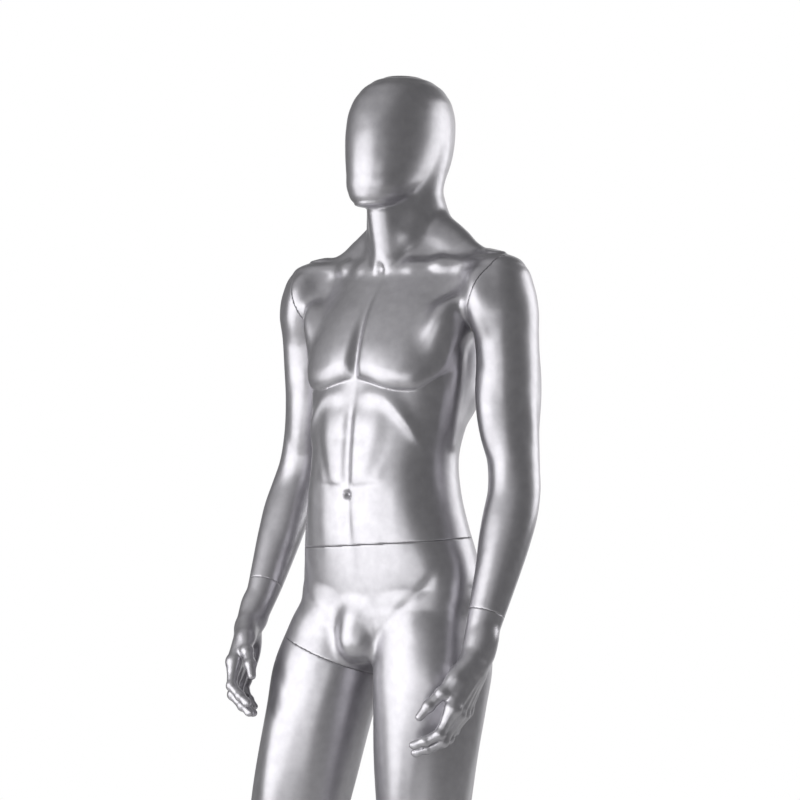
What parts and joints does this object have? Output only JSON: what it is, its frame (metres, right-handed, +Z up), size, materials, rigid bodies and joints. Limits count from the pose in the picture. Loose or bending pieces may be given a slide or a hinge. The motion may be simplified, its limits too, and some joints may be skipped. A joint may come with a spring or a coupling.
{
  "type": "full body mannequin",
  "caption": "Life-size male display mannequin with a featureless egg head, hollow moulded shells with removable arms, hands, torso and leg, held by a calf rod on a round steel base.",
  "frame": {"origin": "centre of the base's underside, on the floor", "axes": "+Z up, the figure faces -Y, its left side is +X"},
  "size_m": [0.5615, 0.45, 1.885],
  "materials": {
    "shell": "satin metallic silver paint over a smooth fibreglass-reinforced shell",
    "flange": "matt moulded board, unpainted",
    "fitting_steel": "zinc-plated pressed and turned steel",
    "plate": "brushed steel with a turned bevel",
    "chrome": "polished chrome plating",
    "liner": "matt black rubber"
  },
  "bodies": {
    "base": {"base_liner": "liner", "base_plate": "plate", "rod_collar": "chrome", "support_rod": "chrome", "collar_screw_1": "fitting_steel", "collar_screw_2": "fitting_steel"},
    "hips": {"hips_shell": "shell", "calf_bulkhead": "flange", "calf_socket": "fitting_steel", "calf_grub_screw": "fitting_steel", "thigh_flange_inner": "flange", "thigh_keyhole_plate": "fitting_steel", "thigh_plate_screw_1": "fitting_steel", "thigh_plate_screw_2": "fitting_steel", "waist_flange_inner": "flange", "waist_keyhole_plate": "fitting_steel", "waist_plate_screw_1": "fitting_steel", "waist_plate_screw_2": "fitting_steel"},
    "right_leg": {"right_leg_shell": "shell", "thigh_flange_outer": "flange", "thigh_lock_stud": "fitting_steel"},
    "torso": {"torso_shell": "shell", "waist_flange_outer": "flange", "waist_lock_stud": "fitting_steel", "left_shoulder_flange_inner": "flange", "left_shoulder_keyhole_plate": "fitting_steel", "left_shoulder_plate_screw_1": "fitting_steel", "left_shoulder_plate_screw_2": "fitting_steel", "right_shoulder_flange_inner": "flange", "right_shoulder_keyhole_plate": "fitting_steel", "right_shoulder_plate_screw_1": "fitting_steel", "right_shoulder_plate_screw_2": "fitting_steel"},
    "left_arm": {"left_arm_shell": "shell", "left_shoulder_flange_outer": "flange", "left_shoulder_lock_stud": "fitting_steel", "left_wrist_flange_inner": "flange", "left_wrist_keyhole_plate": "fitting_steel", "left_wrist_plate_screw_1": "fitting_steel", "left_wrist_plate_screw_2": "fitting_steel"},
    "right_arm": {"right_arm_shell": "shell", "right_shoulder_flange_outer": "flange", "right_shoulder_lock_stud": "fitting_steel", "right_wrist_flange_inner": "flange", "right_wrist_keyhole_plate": "fitting_steel", "right_wrist_plate_screw_1": "fitting_steel", "right_wrist_plate_screw_2": "fitting_steel"},
    "left_hand": {"left_hand": "shell", "left_wrist_lock_stud": "fitting_steel"},
    "right_hand": {"right_hand": "shell", "right_wrist_lock_stud": "fitting_steel"}
  },
  "joints": [
    {"name": "lift_off_base", "type": "slide", "parent": "base", "child": "hips", "axis": [-0.081, -0.1274, 0.9885], "range_m": [0, 0.14]},
    {"name": "leg_turn", "type": "hinge", "parent": "hips", "child": "right_leg", "pos_m": [-0.068, -0.013, 0.897], "axis": [0.2985, 0.2024, 0.9327], "range_deg": [-15, 5]},
    {"name": "waist_turn", "type": "hinge", "parent": "hips", "child": "torso", "pos_m": [0.028, 0.017, 1.089], "axis": [-0.0797, 0, 0.9968], "range_deg": [-6, 6]},
    {"name": "left_shoulder_turn", "type": "hinge", "parent": "torso", "child": "left_arm", "pos_m": [0.208, 0.073, 1.5], "axis": [-0.925, 0, 0.38], "range_deg": [0, 80]},
    {"name": "right_shoulder_turn", "type": "hinge", "parent": "torso", "child": "right_arm", "pos_m": [-0.168, 0.073, 1.5], "axis": [-0.925, 0, -0.38], "range_deg": [0, 80]},
    {"name": "left_wrist_turn", "type": "hinge", "parent": "left_arm", "child": "left_hand", "pos_m": [0.252, -0.0088, 0.9833], "axis": [-0.031, -0.3769, -0.9257], "range_deg": [-45, 15]},
    {"name": "right_wrist_turn", "type": "hinge", "parent": "right_arm", "child": "right_hand", "pos_m": [-0.20166, -0.03154, 1.0081], "axis": [0.0792, -0.5051, -0.8594], "range_deg": [-15, 45]}
  ]
}
